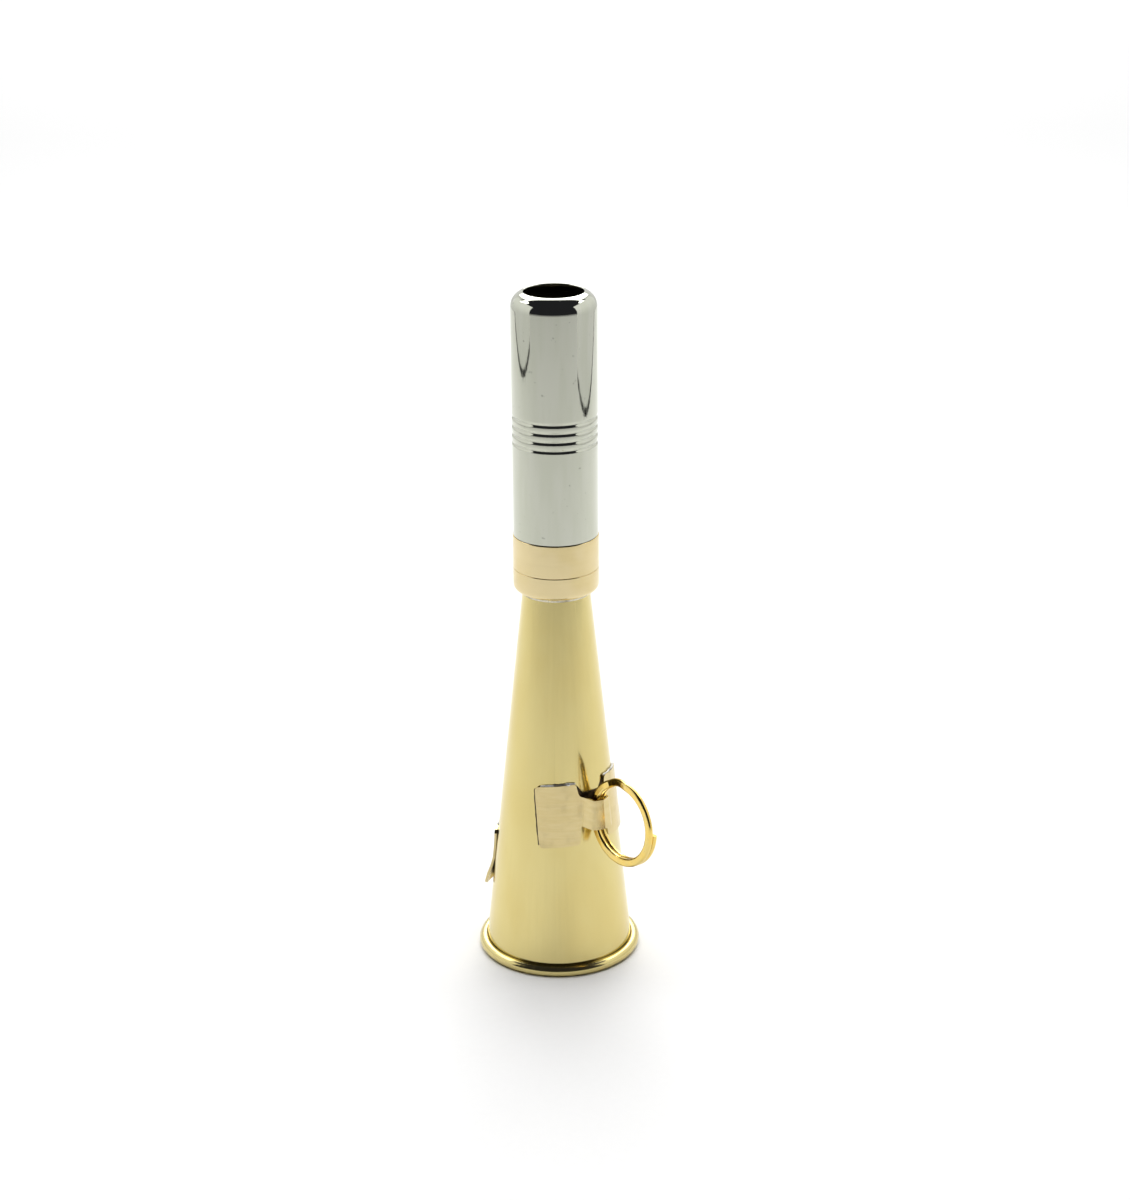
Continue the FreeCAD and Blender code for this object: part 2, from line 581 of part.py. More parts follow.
def make_split_ring(name, azimuth, height, turn):
    """Split ring of one strand: a back layer, a short crossing and a front layer, with two cut ends.

    Its own origin is on the swing axis, where the strand passes through the strap.
    """
    radius = size("ring_mean_radius")
    back, front = size("layer_pitch") / 2, -size("layer_pitch") / 2
    leave = size("back_layer_end")
    join = leave + size("crossing_turn")
    last = size("strand_turn")

    def layer(first, final, depth):
        """Arc of the strand that stays in one layer."""
        through = [strand_point(part, depth, radius) for part in (first, (first + final) / 2, final)]
        return Part.Arc(*through).toShape()

    crossing = []
    steps = round(size("crossing_points")) - 1
    for step in range(steps + 1):
        share = step / steps
        eased = share * share * (3 - 2 * share)
        depth = back + (front - back) * eased
        crossing.append(strand_point(leave + (join - leave) * share, depth, radius))
    curve = Part.BSplineCurve()
    tangents = [strand_point(part + 90, 0, 1) - strand_point(part + 90, 0, 0) for part in (leave, join)]
    curve.interpolate(Points=crossing, InitialTangent=tangents[0], FinalTangent=tangents[1])
    half_turn = (join + last) / 2
    path = Part.Wire([
        layer(0, leave, back), curve.toShape(), layer(join, half_turn, front), layer(half_turn, last, front),
    ])
    wide, thick = size("strand_width") / 2, size("strand_thickness") / 2
    section = Part.makePlane(2 * wide, 2 * thick, FreeCAD.Vector(-wide, -thick, 0))
    section = rounded_outline(section, size("strand_rounding"))
    section.Placement = FreeCAD.Placement(
        strand_point(0, back, radius), FreeCAD.Rotation()
    )
    sweep = Part.BRepOffsetAPI.MakePipeShell(path)
    sweep.setBiNormalMode(FreeCAD.Vector(0, 1, 0))
    sweep.add(section)
    sweep.build()
    sweep.makeSolid()
    ring = doc.addObject("Part::Feature", name)
    ring.Shape = sweep.shape()
    strap_middle = value_of(height) + size("strap_raise")
    axis_radius = bell_radius(strap_middle) + size("ring_standoff")
    direction = math.radians(azimuth)
    place = FreeCAD.Vector(
        axis_radius * math.sin(direction), -axis_radius * math.cos(direction),
        strap_middle + size("ring_raise"),
    )
    swing = FreeCAD.Rotation(FreeCAD.Vector(0, 0, 1), azimuth + turn - 90)
    lean = FreeCAD.Rotation(FreeCAD.Vector(1, 0, 0), -size("ring_lean"))
    ring.Placement = FreeCAD.Placement(place, swing.multiply(lean))


def rounded_outline(plane, rounding):
    """Outline of a rectangle in the XY plane with rounded corners."""
    box = plane.extrude(FreeCAD.Vector(0, 0, 1))
    upright = [edge for edge in box.Edges if abs(edge.tangentAt(edge.FirstParameter).z) > 0.9]
    rounded = box.makeFillet(rounding, upright)
    bottom = min(rounded.Faces, key=lambda face: face.CenterOfMass.z)
    return bottom.OuterWire


make_bell()
make_rim_wire()
make_collar()
make_collar_solder()
make_reed_block()
make_mouthpiece()
make_shallot()
make_wedge()
make_tongue()

CLIPS = (
    ("front", "Sizes.clip_azimuth", "Sizes.clip_height", "front_ring_turn"),
    ("rear", "Sizes.clip_azimuth + Sizes.rear_clip_turn", "Sizes.rear_clip_height", "rear_ring_turn"),
)
for side, azimuth, height, turn in CLIPS:
    make_clip(f"{side}_clip", azimuth, height)
    make_clip_solder(f"{side}_clip_solder", azimuth, height)
    make_split_ring(f"{side}_split_ring", value_of(azimuth), height, size(turn))

NODES = (
    "bell", "rim_wire", "bell_collar", "collar_solder", "reed_block", "reed_shallot", "reed_wedge",
    "reed_tongue", "mouthpiece_tube", "front_clip", "front_clip_solder", "front_split_ring",
    "rear_clip", "rear_clip_solder", "rear_split_ring",
)

doc.recompute()
for item in doc.Objects:
    if "Invalid" in item.State or "Error" in item.State:
        raise RuntimeError(f"{item.Name} failed: {item.State}")

os.makedirs("parts", exist_ok=True)
shapes = {}
for node in NODES:
    item = doc.getObject(node)
    item.Label = node
    shape = item.Shape
    if shape.isNull() or not shape.isValid() or not shape.Solids:
        raise RuntimeError(f"{node}: no valid solid")
    shapes[node] = shape
for node, shape in shapes.items():
    shape.exportStep(f"parts/{node}.step")
    box = shape.BoundBox
    print(
        f"{node:20s} {len(shape.Solids)} solid {shape.Volume:10.2f} mm3  x {box.XMin:7.2f} {box.XMax:7.2f}  "
        f"y {box.YMin:7.2f} {box.YMax:7.2f}  z {box.ZMin:7.2f} {box.ZMax:7.2f}"
    )
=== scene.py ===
# %% [markdown]
# # A small brass reed horn, modelled and lit
#
# The horn stands on its rolled rim. A sheet-brass bell narrows to a soldered collar, a turned reed block
# closes it, and a plated mouthpiece tube covers the reed. Two strips are soldered to the bell, and each
# holds a split ring. The sizes come from the frame, which is a finished set of plain solids. This lesson
# models the visible pieces again as a maker would form them, and gives every piece its real finish.

# %% Load the frame
import math
import random

import bmesh
import bpy
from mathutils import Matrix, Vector


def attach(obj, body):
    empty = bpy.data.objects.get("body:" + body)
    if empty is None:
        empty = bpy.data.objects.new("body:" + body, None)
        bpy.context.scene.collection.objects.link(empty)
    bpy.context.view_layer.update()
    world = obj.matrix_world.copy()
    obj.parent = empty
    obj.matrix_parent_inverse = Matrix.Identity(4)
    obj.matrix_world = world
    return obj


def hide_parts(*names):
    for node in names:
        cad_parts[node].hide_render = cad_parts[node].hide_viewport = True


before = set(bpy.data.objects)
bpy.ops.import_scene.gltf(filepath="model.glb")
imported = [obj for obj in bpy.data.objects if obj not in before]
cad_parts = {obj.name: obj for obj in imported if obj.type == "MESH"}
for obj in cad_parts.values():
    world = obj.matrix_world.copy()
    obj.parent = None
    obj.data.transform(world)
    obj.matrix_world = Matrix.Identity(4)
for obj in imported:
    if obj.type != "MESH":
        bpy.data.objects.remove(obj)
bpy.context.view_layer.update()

bpy.ops.object.select_all(action="DESELECT")
MM = 0.001
scene = bpy.context.scene
print("nodes in the frame:", ", ".join(sorted(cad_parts)))

# %% [markdown]
# ## The camera
#
# A product picture of a tall, slim thing is taken from a little above, so that its open end and its
# roundness both read. A long lens from half a metre keeps the sides nearly parallel. The aim is given as a
# direction and an upward direction, because a to-track constraint would need a target object.

# %% Camera
CAMERA_PLACE = Vector((0.003071, -0.487558, 0.262493))
CAMERA_AIM = Vector((-0.0025779, 0.9344324, -0.3561313))
CAMERA_UP = Vector((0.0067639, 0.3561407, 0.9344079))
camera_data = bpy.data.cameras.new("studio_camera")
camera_data.lens = 78
camera_data.sensor_width = 36
camera_data.clip_start = 0.01
camera = bpy.data.objects.new("studio_camera", camera_data)
scene.collection.objects.link(camera)
turn = CAMERA_AIM.to_track_quat("-Z", "Y").to_matrix()
right = CAMERA_AIM.cross(CAMERA_UP).normalized()
turn.col[0] = right
turn.col[1] = right.cross(CAMERA_AIM).normalized()
turn.col[2] = -CAMERA_AIM.normalized()
camera.matrix_world = turn.to_4x4()
camera.location = CAMERA_PLACE
scene.camera = camera
print("camera stands", round(CAMERA_PLACE.length, 3), "m from the foot of the horn")

# %% [markdown]
# ## Nodes with short names
#
# A finish is a small chain of texture nodes. These helpers make one link of such a chain each, so that a
# finish below reads as a recipe. Patterns use object coordinates, which are metres on this model. A scale
# of 1000 therefore gives marks about a millimetre across.

# %% Helpers for the finishes
def new_finish(name):
    """A material with its node tree and its main shader."""
    finish = bpy.data.materials.new(name)
    finish.use_nodes = True
    return finish, finish.node_tree, finish.node_tree.nodes["Principled BSDF"]


def add_node(tree, kind, **inputs):
    """A node with some inputs set or linked. An underscore in a name stands for a space."""
    node = tree.nodes.new(kind)
    for name, value in inputs.items():
        feed(tree, value, node.inputs[name.replace("_", " ")])
    return node


def feed(tree, value, socket):
    """Links a socket to another, or sets its number."""
    if isinstance(value, bpy.types.NodeSocket):
        tree.links.new(value, socket)
    else:
        socket.default_value = value


def object_place(tree, stretch=(1, 1, 1)):
    """Object coordinates, stretched along the axes."""
    coordinates = add_node(tree, "ShaderNodeTexCoord")
    mapping = add_node(tree, "ShaderNodeMapping", Vector=coordinates.outputs["Object"], Scale=stretch)
    return mapping.outputs["Vector"]


def lengthwise_place(tree, around, along):
    """Coordinates that run fast round the horn and slowly along it, with no seam."""
    flat = object_place(tree, (1, 1, 0))
    outward = add_node(tree, "ShaderNodeVectorMath")
    outward.operation = "NORMALIZE"
    feed(tree, flat, outward.inputs[0])
    spread = add_node(tree, "ShaderNodeVectorMath")
    spread.operation = "SCALE"
    feed(tree, outward.outputs["Vector"], spread.inputs[0])
    spread.inputs["Scale"].default_value = around
    raised = add_node(tree, "ShaderNodeVectorMath")
    raised.operation = "ADD"
    feed(tree, spread.outputs["Vector"], raised.inputs[0])
    feed(tree, object_place(tree, (0, 0, along)), raised.inputs[1])
    return raised.outputs["Vector"]


def noise(tree, place, scale, detail=3.0):
    """Value of a noise pattern at a place."""
    node = add_node(tree, "ShaderNodeTexNoise", Vector=place, Scale=scale, Detail=detail)
    return node.outputs["Fac"]


def ranged(tree, value, from_low, from_high, to_low, to_high):
    """A value carried smoothly from one range to another."""
    node = add_node(
        tree, "ShaderNodeMapRange", Value=value, From_Min=from_low, From_Max=from_high,
        To_Min=to_low, To_Max=to_high,
    )
    node.interpolation_type = "SMOOTHSTEP"
    return node.outputs["Result"]


def blend(tree, share, first, second):
    """A colour between two others."""
    node = tree.nodes.new("ShaderNodeMix")
    node.data_type = "RGBA"
    feed(tree, share, node.inputs[0])
    for index, colour in ((6, first), (7, second)):
        feed(tree, (*colour, 1) if isinstance(colour, tuple) else colour, node.inputs[index])
    return node.outputs[2]


def bump(tree, height, depth, under=None):
    """A bump whose full height is a real depth in metres."""
    node = add_node(tree, "ShaderNodeBump", Height=height, Distance=depth, Strength=1.0)
    if under is not None:
        feed(tree, under, node.inputs["Normal"])
    return node.outputs["Normal"]


print("finish helpers are ready")

# %% [markdown]
# ## Brass, nickel, wire and solder
#
# Polished brass is pale yellow. Its colour changes a little from place to place, where fingers and air
# have dulled it, and the polishing leaves fine marks. On the bell they run lengthwise, and on turned pieces
# they run round. Each finish mixes two or three nearby colours, varies its roughness with the marks, and
# bends its surface slightly, because hand-worked sheet never reflects in straight lines.

# %% Bell brass
def bell_finish():
    finish, tree, shader = new_finish("bell_sheet_brass")
    marks = noise(tree, lengthwise_place(tree, 260, 40), 1.0, 4.0)
    clouds = noise(tree, object_place(tree, (1, 1, 0.6)), 90, 3.0)
    fine = noise(tree, object_place(tree), 1500, 2.0)
    warm = blend(tree, ranged(tree, clouds, 0.4, 0.66, 0, 1), (0.665, 0.565, 0.250), (0.645, 0.535, 0.222))
    colour = blend(tree, ranged(tree, marks, 0.5, 0.75, 0, 0.35), warm, (0.55, 0.465, 0.205))
    feed(tree, colour, shader.inputs["Base Color"])
    feed(tree, ranged(tree, marks, 0.35, 0.75, 0.13, 0.24), shader.inputs["Roughness"])
    waves = bump(tree, noise(tree, object_place(tree, (1, 1, 0.4)), 120, 1.0), 0.00003)
    feed(tree, bump(tree, fine, 0.000001, waves), shader.inputs["Normal"])
    shader.inputs["Metallic"].default_value = 1.0
    return finish


BELL_BRASS = bell_finish()


# %% Turned brass, clip brass and reed brass
def turned_finish():
    finish, tree, shader = new_finish("turned_ring_brass")
    rings = noise(tree, object_place(tree, (60, 60, 9000)), 1.0, 2.0)
    clouds = noise(tree, object_place(tree), 140, 3.0)
    colour = blend(tree, ranged(tree, clouds, 0.38, 0.66, 0, 1), (0.700, 0.585, 0.335), (0.665, 0.545, 0.285))
    feed(tree, colour, shader.inputs["Base Color"])
    feed(tree, ranged(tree, rings, 0.3, 0.7, 0.14, 0.26), shader.inputs["Roughness"])
    feed(tree, bump(tree, rings, 0.0000012), shader.inputs["Normal"])
    shader.inputs["Metallic"].default_value = 1.0
    return finish


def clip_finish():
    finish, tree, shader = new_finish("strip_brass")
    rolled = noise(tree, object_place(tree, (1, 1, 14)), 220, 3.0)
    stains = noise(tree, object_place(tree), 420, 4.0)
    clean = blend(tree, ranged(tree, rolled, 0.35, 0.65, 0, 1), (0.66, 0.545, 0.285), (0.63, 0.51, 0.25))
    colour = blend(tree, ranged(tree, stains, 0.5, 0.8, 0, 0.3), clean, (0.44, 0.34, 0.17))
    feed(tree, colour, shader.inputs["Base Color"])
    feed(tree, ranged(tree, stains, 0.35, 0.7, 0.16, 0.26), shader.inputs["Roughness"])
    feed(tree, bump(tree, rolled, 0.0000008), shader.inputs["Normal"])
    shader.inputs["Metallic"].default_value = 1.0
    return finish


def reed_finish():
    finish, tree, shader = new_finish("reed_brass")
    drawn = noise(tree, object_place(tree, (900, 900, 30)), 1.0, 2.0)
    clouds = noise(tree, object_place(tree), 500, 3.0)
    colour = blend(tree, ranged(tree, clouds, 0.4, 0.65, 0, 1), (0.74, 0.60, 0.28), (0.52, 0.40, 0.18))
    feed(tree, colour, shader.inputs["Base Color"])
    feed(tree, ranged(tree, drawn, 0.3, 0.7, 0.22, 0.4), shader.inputs["Roughness"])
    feed(tree, bump(tree, drawn, 0.000002), shader.inputs["Normal"])
    shader.inputs["Metallic"].default_value = 1.0
    return finish


TURNED_BRASS = turned_finish()
STRIP_BRASS = clip_finish()
REED_BRASS = reed_finish()


# %% Nickel plate, gilt wire and solder
def nickel_finish():
    finish, tree, shader = new_finish("nickel_plate_polished")
    haze = noise(tree, lengthwise_place(tree, 4, 60), 1.0, 3.0)
    wiped = noise(tree, lengthwise_place(tree, 60, 30), 1.0, 3.0)
    pits = noise(tree, object_place(tree), 900, 2.0)
    clean = blend(tree, ranged(tree, haze, 0.35, 0.65, 0, 1), (0.540, 0.550, 0.470), (0.515, 0.528, 0.440))
    colour = blend(tree, ranged(tree, pits, 0.7, 0.78, 0, 0.6), clean, (0.25, 0.25, 0.21))
    feed(tree, colour, shader.inputs["Base Color"])
    feed(tree, ranged(tree, wiped, 0.35, 0.7, 0.02, 0.055), shader.inputs["Roughness"])
    waves = bump(tree, noise(tree, object_place(tree, (1, 1, 0.5)), 150, 1.0), 0.000012)
    feed(tree, bump(tree, pits, 0.0000008, waves), shader.inputs["Normal"])
    shader.inputs["Metallic"].default_value = 1.0
    return finish


def wire_finish():
    finish, tree, shader = new_finish("gilt_ring_wire")
    rubbed = noise(tree, object_place(tree), 350, 3.0)
    fine = noise(tree, object_place(tree), 2600, 2.0)
    gilt = blend(tree, ranged(tree, rubbed, 0.4, 0.62, 0, 1), (0.82, 0.60, 0.17), (0.78, 0.60, 0.21))
    colour = blend(tree, ranged(tree, fine, 0.62, 0.75, 0, 0.5), gilt, (0.50, 0.32, 0.08))
    feed(tree, colour, shader.inputs["Base Color"])
    feed(tree, ranged(tree, rubbed, 0.3, 0.7, 0.10, 0.22), shader.inputs["Roughness"])
    feed(tree, bump(tree, fine, 0.000002), shader.inputs["Normal"])
    shader.inputs["Metallic"].default_value = 1.0
    return finish


def solder_finish():
    finish, tree, shader = new_finish("tin_solder")
    skin = noise(tree, object_place(tree), 1100, 4.0)
    burnt = noise(tree, object_place(tree), 320, 3.0)
    bright = blend(tree, ranged(tree, skin, 0.35, 0.65, 0, 1), (0.86, 0.85, 0.80), (0.62, 0.60, 0.56))
    colour = blend(tree, ranged(tree, burnt, 0.52, 0.66, 0, 0.85), bright, (0.10, 0.085, 0.06))
    feed(tree, colour, shader.inputs["Base Color"])
    feed(tree, ranged(tree, skin, 0.3, 0.7, 0.22, 0.5), shader.inputs["Roughness"])
    feed(tree, bump(tree, skin, 0.00003), shader.inputs["Normal"])
    shader.inputs["Metallic"].default_value = 0.45
    return finish


def inside_shade_finish():
    # Painted shade: the inside of the tube is coloured nearly black, so that the blow hole looks dark inside.
    finish, tree, shader = new_finish("tube_inside_painted_shade")
    shade_noise = noise(tree, object_place(tree), 260, 4.0)
    colour = blend(tree, ranged(tree, shade_noise, 0.35, 0.65, 0, 1), (0.045, 0.036, 0.022), (0.09, 0.075, 0.045))
    feed(tree, colour, shader.inputs["Base Color"])
    feed(tree, ranged(tree, shade_noise, 0.3, 0.7, 0.5, 0.75), shader.inputs["Roughness"])
    feed(tree, bump(tree, shade_noise, 0.00001), shader.inputs["Normal"])
    shader.inputs["Metallic"].default_value = 0.7
    return finish


NICKEL = nickel_finish()
PAINTED_SHADE_INSIDE = inside_shade_finish()
GILT_WIRE = wire_finish()
SOLDER = solder_finish()
print("finishes:", ", ".join(m.name for m in (BELL_BRASS, TURNED_BRASS, STRIP_BRASS, NICKEL, GILT_WIRE)))

# %% [markdown]
# ## Turning a section
#
# The bell, the collar, the reed block and the tube are all round about one axis. On a lathe, or over a
# spinning former, such a piece is a section carried round that axis. The same is done here. A section is
# drawn corner by corner with extrude, its arcs are drawn with spin, its corners are rounded with bevel,
# and one more spin carries it round.

# %% Helpers for turned pieces
def end_of_arc(point, centre, degrees):
    """Where an arc ends that starts at a point and turns about a centre, in the (radius, height) plane."""
    angle = math.radians(degrees)
    across, up = point[0] - centre[0], point[1] - centre[1]
    return (
        centre[0] + across * math.cos(angle) - up * math.sin(angle),
        centre[1] + across * math.sin(angle) + up * math.cos(angle),
    )


def draw_section(name, start, moves):
    """Draws a closed section. A move is a corner (radius, height) or an arc (centre, degrees)."""
    bpy.ops.mesh.primitive_plane_add(size=MM, location=(start[0] * MM, 0, start[1] * MM))
    piece = bpy.context.object
    piece.name = name
    bpy.ops.object.mode_set(mode="EDIT")
    bpy.ops.mesh.select_all(action="SELECT")
    bpy.ops.mesh.merge(type="CENTER")
    point = start
    for move in moves:
        if isinstance(move[0], tuple):
            centre, degrees = move
            bpy.ops.mesh.spin(
                steps=max(4, round(abs(degrees) / 6)), angle=math.radians(degrees),
                center=(centre[0] * MM, 0, centre[1] * MM), axis=(0, 1, 0),
            )
            point = end_of_arc(point, centre, degrees)
        else:
            step = ((move[0] - point[0]) * MM, 0, (move[1] - point[1]) * MM)
            bpy.ops.mesh.extrude_region_move(TRANSFORM_OT_translate={"value": step})
            point = move
    bpy.ops.mesh.select_all(action="SELECT")
    bpy.ops.mesh.remove_doubles(threshold=MM / 500)
    return piece


def select_corner(piece, corner):
    """Selects the one corner of the section at a (radius, height)."""
    mesh = bmesh.from_edit_mesh(piece.data)
    bpy.ops.mesh.select_all(action="DESELECT")
    wanted = Vector((corner[0] * MM, 0, corner[1] * MM))
    nearest = min(mesh.verts, key=lambda v: (piece.matrix_world @ v.co - wanted).length)
    nearest.select = True
    bmesh.update_edit_mesh(piece.data)


def round_corner(piece, corner, amount, segments=4):
    """Rounds one corner of the section."""
    select_corner(piece, corner)
    bpy.ops.mesh.bevel(offset=amount * MM, segments=segments, affect="VERTICES")


def turn_section(piece, steps=192):
    """Carries the section round the horn's axis and closes the skin."""
    bpy.ops.mesh.select_all(action="SELECT")
    bpy.ops.mesh.spin(steps=steps, angle=2 * math.pi, center=(0, 0, 0), axis=(0, 0, 1))
    bpy.ops.mesh.select_all(action="SELECT")
    bpy.ops.mesh.remove_doubles(threshold=MM / 500)
    bpy.ops.mesh.normals_make_consistent(inside=False)
    bpy.ops.object.mode_set(mode="OBJECT")
    settle(piece)


def settle(piece, angle=32):
    """Puts the object's place into its mesh and shades it smooth, with its real edges kept."""
    bpy.ops.object.select_all(action="DESELECT")
    piece.select_set(True)
    bpy.context.view_layer.objects.active = piece
    bpy.ops.object.transform_apply(location=True, rotation=True, scale=True)
    bpy.ops.object.shade_smooth_by_angle(angle=math.radians(angle))
    bpy.ops.object.modifier_add(type="WEIGHTED_NORMAL")
    piece.modifiers[-1].keep_sharp = True
    bpy.ops.object.modifier_apply(modifier=piece.modifiers[-1].name)
    bpy.ops.object.select_all(action="DESELECT")


def finish_piece(piece, body, finish, slot, *nodes):
    """Gives a piece its finish, its body and the frame's solids that it stands for."""
    piece.data.materials.clear()
    piece.data.materials.append(finish)
    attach(piece, body)
    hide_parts(*nodes)
    print(piece.name, "has", len(piece.data.polygons), "faces")


# %% [markdown]
# ## The bell
#
# The bell is a straight cone of thin sheet. Its wide edge is rolled outwards round a wire, which leaves a
# bead with a fine dark seam above it. The section is therefore one long strip that curls nearly all the
# way round at the bottom. The bead is dressed flat underneath, where it stands.

# %% Bell
NECK_TOP = 81.6
NECK_RADIUS = 6.519
SHEET = 0.45
ROLL_CENTRE = (15.58, 1.10)
MOUTH_RADIUS = 15.25
ROLL_START, ROLL_TURN = (15.080, 1.590), 347.3
SEAM_LIP, OUTER_TURN = (15.2483, 2.1985), -179.9
FOOT_RADIUS, INNER_TURN = 15.245, -106.0
RING_HEIGHTS = (60, 40, 20)
TAPER = (MOUTH_RADIUS - NECK_RADIUS) / NECK_TOP


def bell_radius(height):
    """Outside radius of the cone at a height."""
    return MOUTH_RADIUS - TAPER * height


outside = [(bell_radius(height), height) for height in RING_HEIGHTS]
inside = [(bell_radius(height) - SHEET, height) for height in reversed(RING_HEIGHTS)]
bell = draw_section("bell_cone", (NECK_RADIUS, NECK_TOP), [
    *outside,
    ROLL_START, (ROLL_CENTRE, ROLL_TURN),
    SEAM_LIP, (ROLL_CENTRE, OUTER_TURN),
    (FOOT_RADIUS, 0), (ROLL_CENTRE, INNER_TURN),
    *inside,
    (NECK_RADIUS - SHEET, NECK_TOP), (NECK_RADIUS, NECK_TOP),
])
turn_section(bell)
finish_piece(bell, "bell_body", BELL_BRASS, "bell_brass", "bell")

# %% [markdown]
# ## Collar and reed block
#
# Two turned rings follow. The lower one is soldered on the bell's neck and has a large rounding below. The
# upper one belongs to the reed block, whose spigots go down into the collar and up into the tube. A small
# bevel on each sharp edge makes the fine dark line where the two rings meet.

# %% Collar and reed block
RING_RADIUS = 8.604
COLLAR_LOW, COLLAR_TOP, BLOCK_TOP = 79.4, 84.2, 91.0
COLLAR_BORE, SOCKET_TOP, SOCKET_LOW = 6.069, 6.575, 6.81
LOWER_SPIGOT, UPPER_SPIGOT, REED_BORE = 6.029, 7.684, 3.25
SPIGOT_LOW, SPIGOT_TOP = 78.0, 97.0
LARGE_ROUND, SMALL_ROUND, SPIGOT_ROUND = 1.3, 0.15, 0.25
collar = draw_section("collar_ring", (SOCKET_LOW, COLLAR_LOW), [
    (RING_RADIUS, COLLAR_LOW), (RING_RADIUS, COLLAR_TOP), (COLLAR_BORE, COLLAR_TOP),
    (COLLAR_BORE, NECK_TOP), (SOCKET_TOP, NECK_TOP), (SOCKET_LOW, COLLAR_LOW),
])
round_corner(collar, (RING_RADIUS, COLLAR_LOW), LARGE_ROUND, 10)
round_corner(collar, (RING_RADIUS, COLLAR_TOP), SMALL_ROUND, 3)
turn_section(collar)
finish_piece(collar, "bell_body", TURNED_BRASS, "turned_brass", "bell_collar")

block = draw_section("reed_block_turned", (REED_BORE, SPIGOT_LOW), [
    (LOWER_SPIGOT, SPIGOT_LOW), (LOWER_SPIGOT, COLLAR_TOP), (RING_RADIUS, COLLAR_TOP),
    (RING_RADIUS, BLOCK_TOP), (UPPER_SPIGOT, BLOCK_TOP), (UPPER_SPIGOT, SPIGOT_TOP),
    (REED_BORE, SPIGOT_TOP), (REED_BORE, SPIGOT_LOW),
])
for corner in ((RING_RADIUS, COLLAR_TOP), (RING_RADIUS, BLOCK_TOP)):
    round_corner(block, corner, SMALL_ROUND, 3)
for corner in ((UPPER_SPIGOT, SPIGOT_TOP), (LOWER_SPIGOT, SPIGOT_LOW), (REED_BORE, SPIGOT_TOP)):
    round_corner(block, corner, SPIGOT_ROUND, 3)
turn_section(block)
finish_piece(block, "reed_body", TURNED_BRASS, "turned_brass", "reed_block")

# %% [markdown]
# ## The mouthpiece tube
#
# This is a drawn tube with a rounded end, pierced by a wide hole with a soft lip. Four fine grooves are
# turned round it. A groove is a V in the section, and its three corners are rounded a little, so that each
# catches the light as a bright line over a dark one.

# %% Mouthpiece tube
TUBE_RADIUS, TUBE_INSIDE, TUBE_LOW = 8.484, 7.734, 91.1
SHOULDER_CENTRE = (5.284, 137.155)
GROOVES = [110.40, 112.14, 113.88, 115.62]
GROOVE_HALF, GROOVE_DEPTH = 0.45, 0.30
GROOVE_FLOOR_ROUND, GROOVE_EDGE_ROUND, LIP_ROUND, FOOT_ROUND = 0.2, 0.1, 0.22, 0.08
LIP_OUTSIDE, LIP_INSIDE = 78.9, 75.4

tube_moves = []
for height in GROOVES:
    tube_moves.append((TUBE_RADIUS, height - GROOVE_HALF))
    tube_moves.append((TUBE_RADIUS - GROOVE_DEPTH, height))
    tube_moves.append((TUBE_RADIUS, height + GROOVE_HALF))
tube_moves += [(TUBE_RADIUS, SHOULDER_CENTRE[1]), (SHOULDER_CENTRE, LIP_OUTSIDE)]
inner_lip = end_of_arc((TUBE_INSIDE, SHOULDER_CENTRE[1]), SHOULDER_CENTRE, LIP_INSIDE)
outer_lip = end_of_arc((TUBE_RADIUS, SHOULDER_CENTRE[1]), SHOULDER_CENTRE, LIP_OUTSIDE)
tube_moves += [
    inner_lip, (SHOULDER_CENTRE, -LIP_INSIDE), (TUBE_INSIDE, TUBE_LOW), (TUBE_RADIUS, TUBE_LOW),
]
tube = draw_section("mouthpiece_plated", (TUBE_RADIUS, TUBE_LOW), tube_moves)
for height in GROOVES:
    round_corner(tube, (TUBE_RADIUS - GROOVE_DEPTH, height), GROOVE_FLOOR_ROUND, 4)
    round_corner(tube, (TUBE_RADIUS, height - GROOVE_HALF), GROOVE_EDGE_ROUND, 3)
    round_corner(tube, (TUBE_RADIUS, height + GROOVE_HALF), GROOVE_EDGE_ROUND, 3)
for corner in (outer_lip, inner_lip):
    round_corner(tube, corner, LIP_ROUND, 5)
round_corner(tube, (TUBE_RADIUS, TUBE_LOW), FOOT_ROUND, 2)
turn_section(tube)
finish_piece(tube, "mouthpiece_body", NICKEL, "nickel_plate", "mouthpiece_tube")
# The inward faces below the lip take the painted shade of the inside.
tube.data.materials.append(PAINTED_SHADE_INSIDE)
for face in tube.data.polygons:
    outward = Vector((face.center.x, face.center.y, 0)).normalized()
    if face.normal.dot(outward) < -0.1 and face.center.z < (inner_lip[1] - 0.2) * MM:
        face.material_index = 1

# %% [markdown]
# ## The clips
#
# A clip is one straight strip of thin brass. Its wings lie on the cone, its middle stands out as a creased
# strap, and the ring passes behind the strap. A straight strip laid on a cone does not run level: its ends
# sink and lean. So one edge of the strip is carried round in steps, and each step leans and climbs a little.
# Half a strip is made that way and mirrored, then Solidify gives it the sheet's thickness.

# %% Helpers for strips on the bell
FILM, STRIP = 0.08, 0.5
CLIP_REACH, WING_HALF, WING_CORNER = 11.7, 6.5, 0.9
STRAP_HALF, STRAP_RAISE = 3.1, 0.55
STRIP_EDGE = 0.08
CONE_SINE = TAPER / math.hypot(1, TAPER)


def start_edge(name, radius, height, half, cuts):
    """An upright edge on the cone, at the middle of a clip that faces +X."""
    low = ((radius + TAPER * half) * MM, 0, (height - half) * MM)
    bpy.ops.mesh.primitive_plane_add(size=MM, location=low)
    piece = bpy.context.object
    piece.name = name
    bpy.ops.object.mode_set(mode="EDIT")
    bpy.ops.mesh.merge(type="CENTER")
    rise = (-2 * TAPER * half * MM, 0, 2 * half * MM)
    bpy.ops.mesh.extrude_region_move(TRANSFORM_OT_translate={"value": rise})
    bpy.ops.mesh.select_all(action="SELECT")
    bpy.ops.mesh.subdivide(number_cuts=cuts)
    bpy.ops.mesh.select_all(action="SELECT")
    return piece


